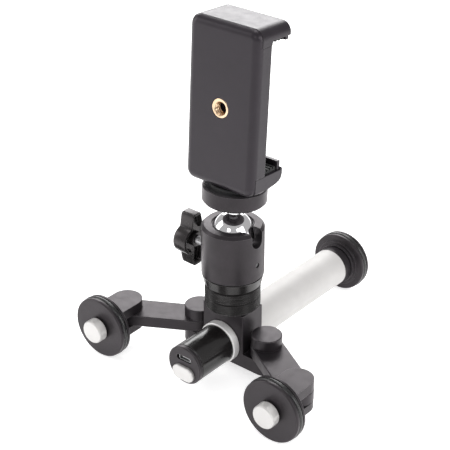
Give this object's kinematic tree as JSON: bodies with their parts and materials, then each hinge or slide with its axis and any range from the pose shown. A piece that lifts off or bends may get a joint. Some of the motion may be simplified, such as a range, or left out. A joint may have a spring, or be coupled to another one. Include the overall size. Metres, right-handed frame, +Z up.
{
  "type": "motorised camera dolly",
  "caption": "Three-wheeled motorised tabletop camera dolly with folding front wheel arms, mini ball head and spring-loaded phone clamp.",
  "frame": {"origin": "on the floor under the middle of the overall bounding box", "axes": "+Z up; +Y along the main tube, from the power button towards the drive wheel; +X to the right seen from the button end"},
  "size_m": [0.1568, 0.1574, 0.2015],
  "materials": {
    "tube_silver": "satin anodised",
    "black_anodised": "satin anodised black",
    "bright_alloy": "fine turned, satin",
    "tyre_rubber": "smooth",
    "steel": "machined",
    "chrome": "polished",
    "brass": "turned",
    "clamp_plastic": "fine matt texture",
    "black_plastic": "matt",
    "pad_rubber": "matt",
    "nylon": "matt",
    "board_green": "lacquered",
    "cell_wrap": "shrink film",
    "motor_can": "zinc plated"
  },
  "bodies": {
    "chassis": {"main_tube": "tube_silver", "front_collar": "bright_alloy", "centre_block": "black_anodised", "control_cap": "black_anodised", "end_plate": "black_anodised", "usb_socket": "steel", "control_board": "board_green", "battery": "cell_wrap", "motor_can": "motor_can", "gear_case": "nylon", "tube_end_plug": "black_anodised", "shaft_bearing": "steel", "left_pivot_bolt": "black_anodised", "right_pivot_bolt": "black_anodised", "pivot_washers": "nylon", "head_stud": "steel", "pan_base": "black_anodised"},
    "button": {"power_button": "bright_alloy"},
    "head_lock_ring": {"lock_ring": "black_anodised"},
    "motor_rotor": {"motor_armature": "steel", "pinion_gear": "brass"},
    "layshaft": {"cluster_gear": "nylon"},
    "drive": {"output_shaft": "steel", "output_gear": "brass", "drive_wheel": "black_anodised", "drive_tyre": "tyre_rubber", "drive_wheel_screw": "steel"},
    "housing": {"ball_housing": "black_anodised", "ball_seat": "nylon", "housing_set_screw": "steel"},
    "knob": {"clamp_knob": "black_plastic", "knob_stud": "steel"},
    "ball": {"chrome_ball": "chrome", "platform": "black_anodised", "platform_pad": "pad_rubber", "platform_screw": "steel"},
    "phone_clamp": {"clamp_body": "clamp_plastic", "clamp_cover": "clamp_plastic", "clamp_base": "clamp_plastic", "front_insert": "brass", "base_insert": "brass", "lower_pad": "pad_rubber", "clamp_springs": "steel"},
    "jaw": {"top_jaw": "clamp_plastic", "upper_pad": "pad_rubber"},
    "right_arm": {"right_arm": "black_anodised"},
    "right_bracket": {"right_bracket": "black_anodised", "right_swivel_pin": "steel", "right_axle_screw": "bright_alloy"},
    "right_front_wheel": {"right_wheel": "black_anodised", "right_tyre": "tyre_rubber", "right_wheel_bush": "nylon"},
    "left_arm": {"left_arm": "black_anodised"},
    "left_bracket": {"left_bracket": "black_anodised", "left_swivel_pin": "steel", "left_axle_screw": "bright_alloy"},
    "left_front_wheel": {"left_wheel": "black_anodised", "left_tyre": "tyre_rubber", "left_wheel_bush": "nylon"}
  },
  "joints": [
    {"name": "right_arm_fold", "type": "hinge", "parent": "chassis", "child": "right_arm", "pos_m": [0.024, -0.0289, 0.0176], "axis": [0, 0, 1], "range_deg": [-25, 110]},
    {"name": "right_bracket_swivel", "type": "hinge", "parent": "right_arm", "child": "right_bracket", "pos_m": [0.06037, -0.0499, 0.0176], "axis": [0, 0, 1], "range_deg": [-30, 45]},
    {"name": "right_wheel_spin", "type": "hinge", "parent": "right_bracket", "child": "right_front_wheel", "pos_m": [0.06037, -0.0692, 0.018], "axis": [0, 1, 0], "continuous": true},
    {"name": "left_arm_fold", "type": "hinge", "parent": "chassis", "child": "left_arm", "pos_m": [-0.024, -0.0289, 0.0176], "axis": [0, 0, 1], "range_deg": [-110, 25]},
    {"name": "left_bracket_swivel", "type": "hinge", "parent": "left_arm", "child": "left_bracket", "pos_m": [-0.06037, -0.0499, 0.0176], "axis": [0, 0, 1], "range_deg": [-45, 30]},
    {"name": "left_wheel_spin", "type": "hinge", "parent": "left_bracket", "child": "left_front_wheel", "pos_m": [-0.06037, -0.0692, 0.018], "axis": [0, 1, 0], "continuous": true},
    {"name": "drive_wheel_spin", "type": "hinge", "parent": "chassis", "child": "drive", "pos_m": [0, 0.0752, 0.018], "axis": [0, 1, 0], "continuous": true},
    {"name": "layshaft_spin", "type": "hinge", "parent": "chassis", "child": "layshaft", "pos_m": [0, 0.0571, 0.0235], "axis": [0, 1, 0], "continuous": true},
    {"name": "motor_spin", "type": "hinge", "parent": "chassis", "child": "motor_rotor", "pos_m": [0, 0.0431, 0.018], "axis": [0, 1, 0], "continuous": true},
    {"name": "power_button_press", "type": "slide", "parent": "chassis", "child": "button", "axis": [0, 1, 0], "range_m": [0, 0.0009], "stiffness_N_per_m": 2500, "springref_m": -0.0004},
    {"name": "lock_ring_turn", "type": "hinge", "parent": "chassis", "child": "head_lock_ring", "pos_m": [0, -0.0289, 0.0414], "axis": [0, 0, 1], "continuous": true},
    {"name": "head_pan", "type": "hinge", "parent": "chassis", "child": "housing", "pos_m": [0, -0.0289, 0.061], "axis": [0, 0, 1], "continuous": true},
    {"name": "head_tilt", "type": "hinge", "parent": "housing", "child": "ball", "pos_m": [0, -0.0289, 0.0826], "axis": [0, 0.9981, -0.061], "range_deg": [-37, 88]},
    {"name": "head_knob_turn", "type": "hinge", "parent": "housing", "child": "knob", "pos_m": [-0.0249, -0.0289, 0.0688], "axis": [1, 0, 0], "range_deg": [0, 270]},
    {"name": "clamp_yaw", "type": "hinge", "parent": "ball", "child": "phone_clamp", "pos_m": [0, -0.02717, 0.11095], "axis": [0, 0.061, 0.9981], "continuous": true},
    {"name": "top_jaw_slide", "type": "slide", "parent": "phone_clamp", "child": "jaw", "axis": [0, 0.061, 0.9981], "range_m": [0, 0.03], "stiffness_N_per_m": 150, "springref_m": -0.02, "deforming": ["clamp_springs"]}
  ],
  "couplings": [
    {"joint": "layshaft_spin", "follows": "drive_wheel_spin", "ratio": -1.75},
    {"joint": "motor_spin", "follows": "drive_wheel_spin", "ratio": 3.0625}
  ]
}
